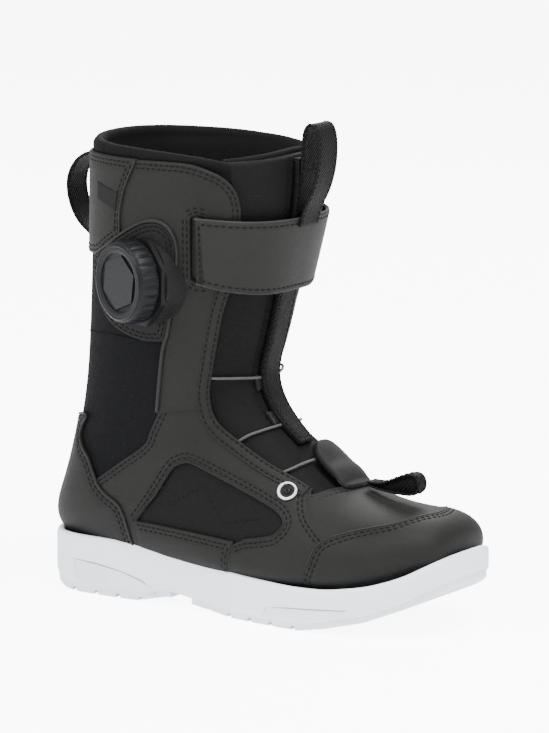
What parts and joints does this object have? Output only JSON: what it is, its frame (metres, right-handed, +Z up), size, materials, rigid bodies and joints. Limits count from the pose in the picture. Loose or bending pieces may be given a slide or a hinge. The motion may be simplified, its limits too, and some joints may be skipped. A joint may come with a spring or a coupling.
{
  "type": "snowboard boot",
  "caption": "Right junior snowboard boot: panelled upper, white cup sole, side dial closure, power strap, pull loops and a padded liner.",
  "frame": {"origin": "middle of the bounding box at floor level", "axes": "+X towards the toe, +Y towards the inner (medial) side, +Z up"},
  "size_m": [0.2786, 0.1361, 0.2816],
  "materials": {
    "midsole_foam": "moulded, fine grain",
    "outsole_rubber": "moulded, slightly glossy",
    "sole_insert": "textured",
    "shank": "glass-filled nylon",
    "lasting_board": "pressed fibre",
    "upper_leather": "grained synthetic leather",
    "counter_leather": "grained synthetic leather",
    "back_textile": "woven softshell",
    "window_textile": "coated textile",
    "dial_panel": "raised, smooth",
    "tongue_textile": "quilted textile",
    "liner_foam": "fleece over foam",
    "collar_textile": "padded textile",
    "footbed": "felt over foam",
    "webbing": "woven webbing",
    "tunnel": "smooth",
    "lace_steel": "coated steel cable",
    "flap_leather": "grained synthetic leather",
    "strap_leather": "grained synthetic leather",
    "hook_loop": "hook-and-loop",
    "label": "woven, blank",
    "badge": "printed ring",
    "dial_black": "nylon",
    "spool_nylon": "nylon",
    "screw_steel": "plated",
    "dial_grip": "moulded over nylon",
    "dial_cap": "moulded"
  },
  "bodies": {
    "boot": {"midsole": "midsole_foam", "outsole_heel": "outsole_rubber", "outsole_forefoot": "outsole_rubber", "heel_insert_outer": "sole_insert", "heel_insert_inner": "sole_insert", "forefoot_insert_outer": "sole_insert", "forefoot_insert_inner": "sole_insert", "shank": "shank", "lasting_board": "lasting_board", "toe_cap": "upper_leather", "vamp": "upper_leather", "quarter_outer": "upper_leather", "quarter_inner": "upper_leather", "side_rand_outer": "upper_leather", "side_rand_inner": "upper_leather", "heel_counter": "counter_leather", "throat_band_outer": "upper_leather", "throat_band_inner": "upper_leather", "cuff_outer": "upper_leather", "cuff_inner": "upper_leather", "back_panel": "back_textile", "back_softshell": "back_textile", "side_window_outer": "window_textile", "side_window_inner": "window_textile", "dial_panel": "dial_panel", "tongue_foot": "tongue_textile", "liner_shell": "liner_foam", "liner_collar": "collar_textile", "footbed": "footbed", "heel_loop": "webbing", "lace": "lace_steel", "instep_flap": "flap_leather", "strap_anchor": "strap_leather", "hook_patch": "hook_loop", "woven_label": "label", "side_badge": "badge", "dial_wedge": "dial_panel", "dial_housing": "dial_black", "dial_screw": "screw_steel"},
    "dial_rotor": {"pawl_disc": "spool_nylon", "lace_spool": "spool_nylon"},
    "dial_knob": {"dial_knob": "dial_grip", "dial_cap": "dial_cap"},
    "power_strap": {"power_strap": "strap_leather"},
    "tongue": {"tongue": "tongue_textile", "liner_tongue": "liner_foam", "tongue_webbing": "webbing", "lace_tunnel_upper": "tunnel", "lace_tunnel_lower": "tunnel", "tongue_loop": "webbing"},
    "toe_loop": {"toe_loop": "webbing"}
  },
  "joints": [
    {"name": "dial_turn", "type": "hinge", "parent": "boot", "child": "dial_rotor", "pos_m": [-0.0502, -0.046, 0.192], "axis": [-0.3502, -0.9367, 0], "continuous": true},
    {"name": "dial_pull", "type": "slide", "parent": "dial_rotor", "child": "dial_knob", "axis": [-0.3502, -0.9367, 0], "range_m": [0, 0.003]},
    {"name": "strap_swing", "type": "hinge", "parent": "boot", "child": "power_strap", "pos_m": [-0.0127, -0.0471, 0.212], "axis": [-0.0537, 0.11, -0.9925], "range_deg": [0, 95]},
    {"name": "tongue_swing", "type": "hinge", "parent": "boot", "child": "tongue", "pos_m": [0.0243, 0.0065, 0.0995], "axis": [0, 1, 0], "range_deg": [0, 20], "deforming": ["lace"]},
    {"name": "toe_loop_lift", "type": "hinge", "parent": "boot", "child": "toe_loop", "pos_m": [0.0663, 0.0165, 0.0745], "axis": [0, -1, 0], "range_deg": [0, 45]}
  ],
  "couplings": [
    {"joint": "tongue_swing", "follows": "strap_swing", "ratio": 0.21}
  ]
}
